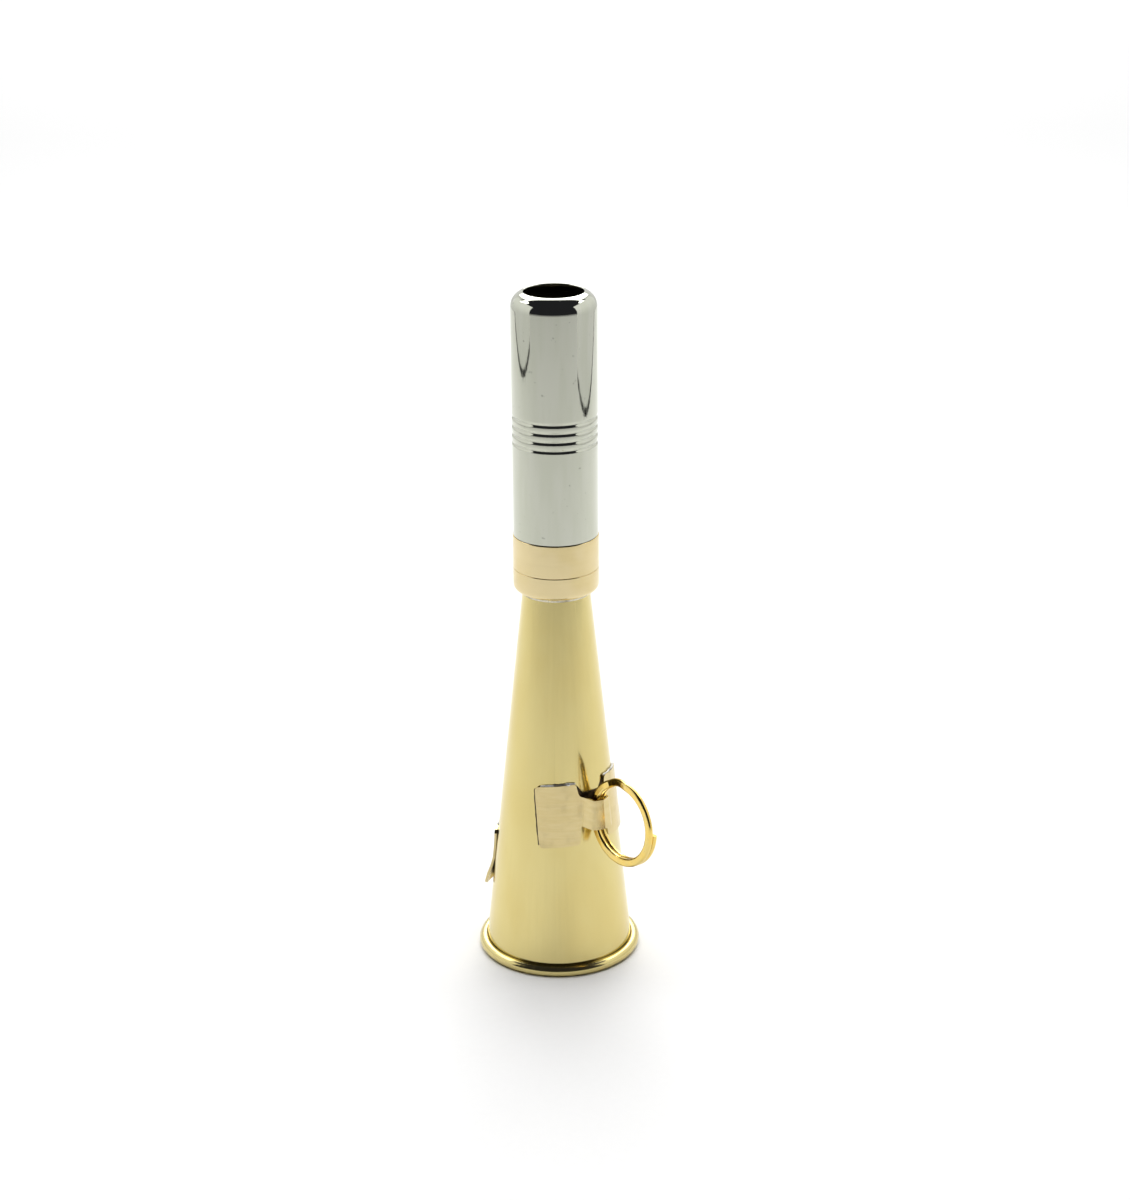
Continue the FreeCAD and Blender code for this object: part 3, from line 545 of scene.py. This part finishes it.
def middle_of_selection(piece):
    """Middle of the selected corners."""
    mesh = bmesh.from_edit_mesh(piece.data)
    places = [piece.matrix_world @ v.co for v in mesh.verts if v.select]
    return sum(places, Vector()) / len(places)


def lean_selection(piece, angle, lean):
    """Leans the selection about the bell's outward direction. The tool turns against the usual sense."""
    centre = middle_of_selection(piece)
    for axis, share in (("X", math.cos(angle)), ("Y", math.sin(angle))):
        bpy.ops.transform.rotate(value=-lean * share, orient_axis=axis, center_override=centre)


def climb_selection(angle, climb):
    """Moves the selection up along the cone."""
    inward = -TAPER * climb * MM
    bpy.ops.transform.translate(value=(inward * math.cos(angle), inward * math.sin(angle), climb * MM))


def put_at_start(piece, radius, arc):
    """Takes the first edge, or ring, from the middle of the strip to its start."""
    angle = arc / radius
    lean_selection(piece, 0, -angle * CONE_SINE)
    climb_selection(0, -arc ** 2 * CONE_SINE / 2 / radius)
    bpy.ops.transform.rotate(value=-angle, orient_axis="Z", center_override=(0, 0, 0))


def carry_on(piece, radius, arc, next_arc, grow=1.0, rise=0.0):
    """Carries the selected edge, or ring, on along the strip, and changes its length."""
    angle = next_arc / radius
    step = (next_arc - arc) / radius
    bpy.ops.mesh.spin(steps=1, angle=-step, center=(0, 0, 0), axis=(0, 0, 1))
    lean_selection(piece, angle, -step * CONE_SINE)
    size = (grow, grow, grow)
    bpy.ops.transform.resize(value=size, center_override=middle_of_selection(piece))
    climb_selection(angle, (arc ** 2 - next_arc ** 2) * CONE_SINE / 2 / radius + rise)


def thicken(piece, thickness, edge_width):
    """Gives a sheet its thickness on the outside and softens its edges."""
    bpy.ops.mesh.select_all(action="SELECT")
    bpy.ops.mesh.normals_make_consistent(inside=False)
    mesh = bmesh.from_edit_mesh(piece.data)
    face = max(mesh.faces, key=lambda f: f.calc_area())
    if face.normal.dot(Vector((face.calc_center_median().x, face.calc_center_median().y, 0))) < 0:
        bpy.ops.mesh.flip_normals()
    bpy.ops.object.mode_set(mode="OBJECT")
    sheet = piece.modifiers.new("sheet", "SOLIDIFY")
    sheet.thickness, sheet.offset = thickness * MM, 1.0
    edges = piece.modifiers.new("edges", "BEVEL")
    edges.width, edges.segments, edges.angle_limit = edge_width * MM, 2, math.radians(34)
    for modifier in ("sheet", "edges"):
        bpy.ops.object.modifier_apply(modifier=modifier)


# %% Clip strip
NOTCH_ROUND, NOTCH_WIDTH, NOTCH_FILLET = 0.7, 0.25, 0.9
FOOT_ARC, FOOT_BEND = 3.15, 1.1
WALL_LEAN, WALL_LENGTH = 12.6, 2.35
SHOULDER_BEND, ROOF_LEAN = 0.5, 71.6
STRAP_UPRIGHT = 0.5
NOTCH_DROP = WING_HALF - STRAP_HALF
BEND_STEPS = 6
CORNER_STEPS, PLAIN_STEPS = 5, 10


def wing_stations():
    """Half length and drop of the strip's edge from the wing's end to the strap's foot."""
    stations = []
    for step in range(CORNER_STEPS + 1):
        turned = math.radians(90 / CORNER_STEPS * step)
        rounded = WING_CORNER * (1 - math.sin(turned))
        stations.append((-CLIP_REACH + WING_CORNER * (1 - math.cos(turned)), -rounded, 0.0))
    notch_arc = -FOOT_ARC - NOTCH_WIDTH - NOTCH_ROUND
    plain = notch_arc + CLIP_REACH - WING_CORNER
    for step in range(1, PLAIN_STEPS + 1):
        stations.append((-CLIP_REACH + WING_CORNER + plain * step / PLAIN_STEPS, 0.0, 0.0))
    for step in range(1, CORNER_STEPS + 1):
        turned = math.radians(90 / CORNER_STEPS * step)
        drop = NOTCH_ROUND * (1 - math.cos(turned))
        stations.append((notch_arc + NOTCH_ROUND * math.sin(turned), 0.0, drop))
    stations.append((-FOOT_ARC, 0.0, NOTCH_DROP - NOTCH_FILLET))
    return [
        (arc, WING_HALF + rounded - drop, STRAP_RAISE * drop / NOTCH_DROP)
        for arc, rounded, drop in stations
    ]


def lay_wing(name, height):
    """The wing of a half strip, from its end to the strap's foot."""
    radius = bell_radius(height) + FILM
    stations = wing_stations()
    arc, half, rise = stations[0]
    piece = start_edge(name, radius, height, half, 5)
    put_at_start(piece, radius, arc)
    for next_arc, next_half, next_rise in stations[1:]:
        carry_on(piece, radius, arc, next_arc, next_half / half, next_rise - rise)
        arc, half, rise = next_arc, next_half, next_rise
    return piece, radius, half


def bend_strap(piece, radius, half):
    """The strap of a half strip: a bend at its foot, a wall, a soft shoulder and half a roof."""
    facing = -FOOT_ARC / radius
    outward = Vector((math.cos(facing), math.sin(facing), 0))
    centre = middle_of_selection(piece) + outward * FOOT_BEND * MM
    bend = math.pi / 2 + facing - math.radians(WALL_LEAN)
    for step in range(1, BEND_STEPS + 1):
        bpy.ops.mesh.spin(steps=1, angle=bend / BEND_STEPS, center=centre, axis=(0, 0, 1))
        along = min(1.0, FOOT_BEND * bend * step / BEND_STEPS / NOTCH_FILLET)
        next_half = STRAP_HALF + NOTCH_FILLET * (1 - math.sqrt(1 - (1 - along) ** 2))
        grow = next_half / half
        bpy.ops.transform.resize(value=(grow, grow, grow), center_override=middle_of_selection(piece))
        lift = STRAP_RAISE * (half - next_half) / NOTCH_DROP * MM
        bpy.ops.transform.translate(value=(0, 0, lift))
        half = next_half
    wall = math.radians(WALL_LEAN)
    reach = Vector((math.cos(wall), math.sin(wall), 0)) * WALL_LENGTH * MM
    bpy.ops.mesh.extrude_region_move(TRANSFORM_OT_translate={"value": reach})
    bpy.ops.transform.resize(value=(STRAP_UPRIGHT, 1, 1), center_override=middle_of_selection(piece))
    sideways = Vector((-math.sin(wall), math.cos(wall), 0))
    centre = middle_of_selection(piece) + sideways * SHOULDER_BEND * MM
    roof = math.radians(ROOF_LEAN)
    bpy.ops.mesh.spin(steps=BEND_STEPS, angle=wall - roof, center=centre, axis=(0, 0, 1))
    left = -middle_of_selection(piece).y / math.sin(roof)
    reach = Vector((math.cos(roof), math.sin(roof), 0)) * left
    bpy.ops.mesh.extrude_region_move(TRANSFORM_OT_translate={"value": reach})
    bpy.ops.transform.resize(value=(1, 0, 1), center_override=(0, 0, 0))


def lift_corner(piece, side, top, lift, spread):
    """Lifts a wing's corner off the bell, with the sheet round it following. Side and top are 1 or -1."""
    mesh = bmesh.from_edit_mesh(piece.data)
    bpy.ops.mesh.select_all(action="DESELECT")
    corner = max(mesh.verts, key=lambda v: side * v.co.y * 1.5 + top * v.co.z - v.co.x)
    corner.select = True
    outward = Vector((corner.co.x, corner.co.y, 0)).normalized()
    bmesh.update_edit_mesh(piece.data)
    bpy.ops.transform.translate(
        value=outward * lift * MM, use_proportional_edit=True, use_proportional_connected=True,
        proportional_size=spread * MM, proportional_edit_falloff="SMOOTH",
    )


def make_clip(name, height, azimuth, lifts):
    """A whole clip, turned to where it is soldered."""
    piece, radius, half = lay_wing(name, height)
    bend_strap(piece, radius, half)
    bpy.ops.object.mode_set(mode="OBJECT")
    bpy.ops.object.transform_apply(location=True)
    other_half = piece.modifiers.new("other half", "MIRROR")
    other_half.use_axis = (False, True, False)
    other_half.merge_threshold = MM / 500
    bpy.ops.object.modifier_apply(modifier=other_half.name)
    bpy.ops.object.mode_set(mode="EDIT")
    for side, top, lift, spread in lifts:
        lift_corner(piece, side, top, lift, spread)
    thicken(piece, STRIP, STRIP_EDGE)
    piece.rotation_euler.z = math.radians(azimuth - 90)
    settle(piece, 20)
    return piece


FRONT_FACING, REAR_FACING = 37, 217
FRONT_HEIGHT, REAR_HEIGHT = 34.5, 19.5
FRONT_LIFTS = [(-1, -1, 0.12, 3), (-1, 1, 0.08, 3)]
REAR_LIFTS = [(1, -1, 1.15, 6), (1, 1, 0.15, 3)]
front_clip = make_clip("front_clip_strip", FRONT_HEIGHT, FRONT_FACING, FRONT_LIFTS)
finish_piece(front_clip, "bell_body", STRIP_BRASS, "clip_brass", "front_clip")
rear_clip = make_clip("rear_clip_strip", REAR_HEIGHT, REAR_FACING, REAR_LIFTS)
finish_piece(rear_clip, "bell_body", STRIP_BRASS, "clip_brass", "rear_clip")

# %% [markdown]
# ## Solder and flux
#
# Solder shows along the upper edge of each wing as an uneven silver bead. A near-black line at the wing's end
# and a near-black patch on the bell above the strap are burnt flux and painted shade: the shadow of the gap
# under the wing's end and the shade under the strap. A bead is a small ring of corners carried along the
# same way as the strip, swelling and shrinking by chance.

# %% Solder beads, and flux film with painted shade
def flux_and_shade_finish():
    finish, tree, shader = new_finish("burnt_flux_and_painted_shade")
    # Near-black colour: burnt flux, and painted shade under the strap and painted shadow at the wing's end.
    crust_and_shade = noise(tree, object_place(tree), 900, 4.0)
    colour = blend(tree, ranged(tree, crust_and_shade, 0.35, 0.65, 0, 1), (0.016, 0.010, 0.005), (0.085, 0.052, 0.022))
    feed(tree, colour, shader.inputs["Base Color"])
    feed(tree, ranged(tree, crust_and_shade, 0.3, 0.7, 0.3, 0.6), shader.inputs["Roughness"])
    feed(tree, bump(tree, crust_and_shade, 0.00003), shader.inputs["Normal"])
    shader.inputs["Specular IOR Level"].default_value = 0.25
    return finish


FLUX_AND_SHADE = flux_and_shade_finish()
BEAD_THIN, BEAD_THICK, BEAD_STEP = 0.20, 0.40, 0.3
LINE_THIN, LINE_THICK, LINE_STEPS = 0.19, 0.34, 24


def close_ends(piece):
    """Closes the open ends of a bead, sets its normals outward and ends the work on it."""
    bpy.ops.mesh.select_all(action="SELECT")
    bpy.ops.mesh.fill_holes(sides=16)
    bpy.ops.mesh.select_all(action="SELECT")
    bpy.ops.mesh.normals_make_consistent(inside=False)
    bpy.ops.object.mode_set(mode="OBJECT")


def start_ring(name, place, thickness, axis):
    """A small ring of corners at a place. Its axis is the way that the bead will run."""
    turn = (math.pi / 2, 0, 0) if axis == "Y" else (0, 0, 0)
    bpy.ops.mesh.primitive_circle_add(vertices=10, radius=thickness * MM, location=place, rotation=turn)
    piece = bpy.context.object
    piece.name = name
    bpy.ops.object.mode_set(mode="EDIT")
    bpy.ops.mesh.select_all(action="SELECT")
    return piece


def swell(chance, size, low, high):
    """A new thickness near the old one, and how much the ring grows to reach it."""
    wanted = min(high, max(low, size * chance.uniform(0.75, 1.3)))
    return wanted, wanted / size


def edge_bead(name, height, arc_from, arc_to, seed):
    """A bead along the upper edge of a wing."""
    chance = random.Random(seed)
    radius = bell_radius(height) + FILM
    over = WING_HALF + 0.08
    place = ((radius - TAPER * over + 0.16) * MM, 0, (height + over) * MM)
    size = 0.12
    piece = start_ring(name, place, size, "Y")
    put_at_start(piece, radius, arc_from)
    steps = round((arc_to - arc_from) / BEAD_STEP)
    arc = arc_from
    for step in range(1, steps + 1):
        next_arc = arc_from + (arc_to - arc_from) * step / steps
        low, high = (BEAD_THIN, BEAD_THICK) if step < steps else (0.05, 0.08)
        size, grow = swell(chance, size, low, high)
        carry_on(piece, radius, arc, next_arc, grow)
        arc = next_arc
    close_ends(piece)
    return piece


def end_bead(name, height, side, seed):
    """A dark line up the end of a wing: burnt flux, and painted shadow of the gap under the wing's end."""
    chance = random.Random(seed)
    radius = bell_radius(height) + FILM
    half = WING_HALF - 0.6
    place = ((radius + TAPER * half + 0.18) * MM, 0, (height - half) * MM)
    size = 0.14
    piece = start_ring(name, place, size, "Z")
    climb = 2 * half / LINE_STEPS
    for _ in range(LINE_STEPS):
        size, grow = swell(chance, size, LINE_THIN, LINE_THICK)
        rise = (-TAPER * climb * MM, chance.uniform(-0.04, 0.04) * MM, climb * MM)
        bpy.ops.mesh.extrude_region_move(TRANSFORM_OT_translate={"value": rise})
        bpy.ops.transform.resize(value=(grow, grow, 1), center_override=middle_of_selection(piece))
    bpy.ops.mesh.select_all(action="SELECT")
    angle = side * (CLIP_REACH + 0.16) / radius
    bpy.ops.transform.translate(value=(0, 0, -CLIP_REACH ** 2 * CONE_SINE / 2 / radius * MM))
    lean_selection(piece, 0, -angle * CONE_SINE)
    bpy.ops.transform.rotate(value=-angle, orient_axis="Z", center_override=(0, 0, 0))
    close_ends(piece)
    return piece


def flux_and_shade_film(name, height):
    """The film between strip and bell, which shows as a dark patch above the strap: burnt flux, and painted
    shade under the strap.
    """
    radius = bell_radius(height) + 0.005
    # Each pair is a half length and how far the film's middle stands above the clip's.
    wing, side, patch = (6.2, 0.0), (4.1, 1.7), (3.4, 0.9)
    stations = [(-11.2, *wing), (-8, *wing), (-5, *wing), (-3.4, *wing), (-3.0, *side), (-2.0, *patch)]
    stations += [(0, *patch)] + [(-arc, half, rise) for arc, half, rise in reversed(stations)]
    piece = start_edge(name, radius, height, wing[0], 3)
    put_at_start(piece, radius, stations[0][0])
    for before, after in zip(stations, stations[1:]):
        steps = max(1, round((after[0] - before[0]) / 0.8))
        arc, half, rise = before
        for step in range(1, steps + 1):
            next_arc, next_half, next_rise = (
                first + (last - first) * step / steps for first, last in zip(before, after)
            )
            carry_on(piece, radius, arc, next_arc, next_half / half, next_rise - rise)
            arc, half, rise = next_arc, next_half, next_rise
    thicken(piece, FILM - 0.01, 0.02)
    return piece


def solder_clip(name, height, azimuth, body, seed, open_side):
    """All the solder and flux of one clip, with its painted shade, joined into one piece."""
    inner, outer = FOOT_ARC + 0.5, CLIP_REACH - 0.5
    silver = [edge_bead(f"{name}_left", height, -outer, -inner, seed)]
    silver.append(edge_bead(f"{name}_right", height, inner, outer - 1.5 * open_side, seed + 1))
    for bead in silver:
        bead.data.materials.append(SOLDER)
    # The flux film and the end lines also carry the painted shade.
    dark = [flux_and_shade_film(f"{name}_film", height)]
    dark += [end_bead(f"{name}_end{side}", height, side, seed + 2) for side in (-1, 1) if side != open_side]
    for bead in dark:
        bead.data.materials.append(FLUX_AND_SHADE)
    bpy.ops.object.select_all(action="DESELECT")
    for bead in silver + dark:
        bead.select_set(True)
        bpy.context.view_layer.objects.active = bead
    bpy.ops.object.transform_apply(location=True, rotation=True, scale=True)
    bpy.context.view_layer.objects.active = silver[0]
    bpy.ops.object.join()
    piece = silver[0]
    piece.name = name
    piece.rotation_euler.z = math.radians(azimuth - 90)
    settle(piece, 60)
    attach(piece, body)
    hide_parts(name.replace("_beads", ""))
    print(name, "has", len(piece.data.polygons), "faces")


solder_clip("front_clip_solder_beads", FRONT_HEIGHT, FRONT_FACING, "bell_body", 11, 0)
solder_clip("rear_clip_solder_beads", REAR_HEIGHT, REAR_FACING, "bell_body", 23, 1)

# %% [markdown]
# ## Finishes for the solids that stay
#
# The reed, its wedge, the rim wire and the split rings already have their real shape. They keep their
# meshes and only take a finish.

# %% Finishes for the frame's own solids
KEPT_FINISHES = {
    "rim_wire": BELL_BRASS, "reed_shallot": REED_BRASS, "reed_wedge": REED_BRASS,
    "reed_tongue": REED_BRASS, "front_split_ring": GILT_WIRE, "rear_split_ring": GILT_WIRE,
    "collar_solder": SOLDER,
}
for node, finish in KEPT_FINISHES.items():
    for material_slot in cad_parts[node].material_slots:
        material_slot.material = finish

# %% [markdown]
# ## A light tent
#
# Polished metal shows what stands round it, so the studio is part of the picture. The horn stands on pale
# paper between two lit white walls, with a soft light above and a dark room in front. The walls and the
# folds at their feet are seen only in the metal, so they are hidden from the camera.

# %% Floor
def floor_finish():
    finish, tree, shader = new_finish("pale_paper")
    grain = noise(tree, object_place(tree), 700, 2.0)
    colour = blend(tree, grain, (0.93, 0.93, 0.925), (0.91, 0.91, 0.905))
    feed(tree, colour, shader.inputs["Base Color"])
    feed(tree, ranged(tree, grain, 0.3, 0.7, 0.85, 0.95), shader.inputs["Roughness"])
    shader.inputs["Specular IOR Level"].default_value = 0.2
    return finish


bpy.ops.mesh.primitive_plane_add(size=12, location=(0, 0, -0.00002))
floor = bpy.context.object
floor.name = "paper_floor"
floor.data.materials.append(floor_finish())
print("floor is", round(max(floor.dimensions)), "m across")

# %% Tent walls and their folds
def glow(name, low, high, top):
    """A lit cloth that is brighter higher up."""
    finish, tree, shader = new_finish(name)
    tree.nodes.remove(shader)
    height = add_node(tree, "ShaderNodeSeparateXYZ", Vector=object_place(tree)).outputs["Z"]
    light = add_node(tree, "ShaderNodeEmission", Strength=ranged(tree, height, 0, top, low, high))
    feed(tree, light.outputs[0], tree.nodes["Material Output"].inputs["Surface"])
    return finish


def stage_card(name, low, high, finish):
    """An upright or flat card between two corners, seen only in reflections."""
    bpy.ops.mesh.primitive_plane_add(size=1)
    card = bpy.context.object
    card.name = name
    middle = (Vector(low) + Vector(high)) / 2
    spread = Vector(high) - Vector(low)
    thin = min(range(3), key=lambda axis: abs(spread[axis]))
    flat_axes = [axis for axis in range(3) if axis != thin]
    for vertex in card.data.vertices:
        place = middle.copy()
        place[flat_axes[0]] += vertex.co.x * spread[flat_axes[0]]
        place[flat_axes[1]] += vertex.co.y * spread[flat_axes[1]]
        vertex.co = place
    card.data.materials.append(finish)
    card.visible_camera = False
    card.visible_shadow = False
    card.visible_diffuse = False


WALL_LEFT, WALL_RIGHT = -0.44, 0.39
WALL_FRONT, WALL_BACK, WALL_TOP = -0.20, 0.70, 0.50
FOLD_LOW, FOLD_TOP = 0.0005, 0.004
wall_cloth = glow("lit_cloth", 0.87, 1.15, 0.35)
# The folds are near-black cards: painted shade of the crease where each wall meets the paper, seen only in
# the metal.
fold_shade_cloth = glow("painted_fold_shade", 0.02, 0.02, 1.0)
for side, across in (("left", WALL_LEFT), ("right", WALL_RIGHT)):
    front, back = (across, WALL_FRONT), (across, WALL_BACK)
    stage_card(f"tent_wall_{side}", (*front, FOLD_TOP), (*back, WALL_TOP), wall_cloth)
    stage_card(f"tent_fold_{side}", (*front, FOLD_LOW), (*back, FOLD_TOP), fold_shade_cloth)
print("tent", round(WALL_RIGHT - WALL_LEFT, 2), "m wide stands round the horn")

# %% Soft light above and the room around
def soft_light(name, place, aim, width, power):
    """A square soft light at a place, facing a point."""
    lamp = bpy.data.lights.new(name, "AREA")
    lamp.size = width
    lamp.energy = power
    holder = bpy.data.objects.new(name, lamp)
    holder.location = place
    holder.rotation_euler = (Vector(aim) - Vector(place)).to_track_quat("-Z", "Y").to_euler()
    scene.collection.objects.link(holder)
    return holder


paper_lamp = soft_light("light_for_paper", (0, -0.17, 0.85), (0, -0.12, 0), width=0.75, power=4.2)
paper_lamp.visible_glossy = False
soft_light("light_behind", (0, 1.6, 1.3), (0, 1.4, 0), width=2.0, power=30.0)
soft_light("light_above", (0, 0.52, 0.50), (0, 0.0, 0.1), width=0.3, power=1.0)
for side in (-1, 1):
    place = (side * 0.42, 0.18, 0.50)
    soft_light(f"light_beside_{side + 1}", place, (0, 0, 0.12), width=0.2, power=0.5)


def room():
    """A bright room behind and beside the horn, and a dark one in front of it."""
    world = bpy.data.worlds.new("studio_room")
    world.use_nodes = True
    tree = world.node_tree
    lit = tree.nodes["Background"]
    direction = add_node(tree, "ShaderNodeTexCoord").outputs["Generated"]
    forward = add_node(tree, "ShaderNodeSeparateXYZ", Vector=direction).outputs["Y"]
    far_side = ranged(tree, forward, 0.5, 0.62, 0, 1)
    feed(tree, blend(tree, far_side, (0.025, 0.025, 0.03), (0.9, 0.9, 0.9)), lit.inputs["Color"])
    plain = add_node(tree, "ShaderNodeBackground", Color=(1, 1, 1, 1), Strength=1.0)
    seen = add_node(tree, "ShaderNodeLightPath").outputs["Is Camera Ray"]
    mix = add_node(tree, "ShaderNodeMixShader", Fac=seen)
    feed(tree, lit.outputs[0], mix.inputs[1])
    feed(tree, plain.outputs[0], mix.inputs[2])
    feed(tree, mix.outputs[0], tree.nodes["World Output"].inputs["Surface"])
    return world


scene.world = room()
scene.view_settings.view_transform = "Standard"

# %% [markdown]
# ## Close the lesson
#
# The visual pieces have to stay inside the frame's own box.

# %% Sizes and finish
def plain(corners):
    """Two corners as plain lists of numbers."""
    return [[float(number) for number in corner] for corner in corners]
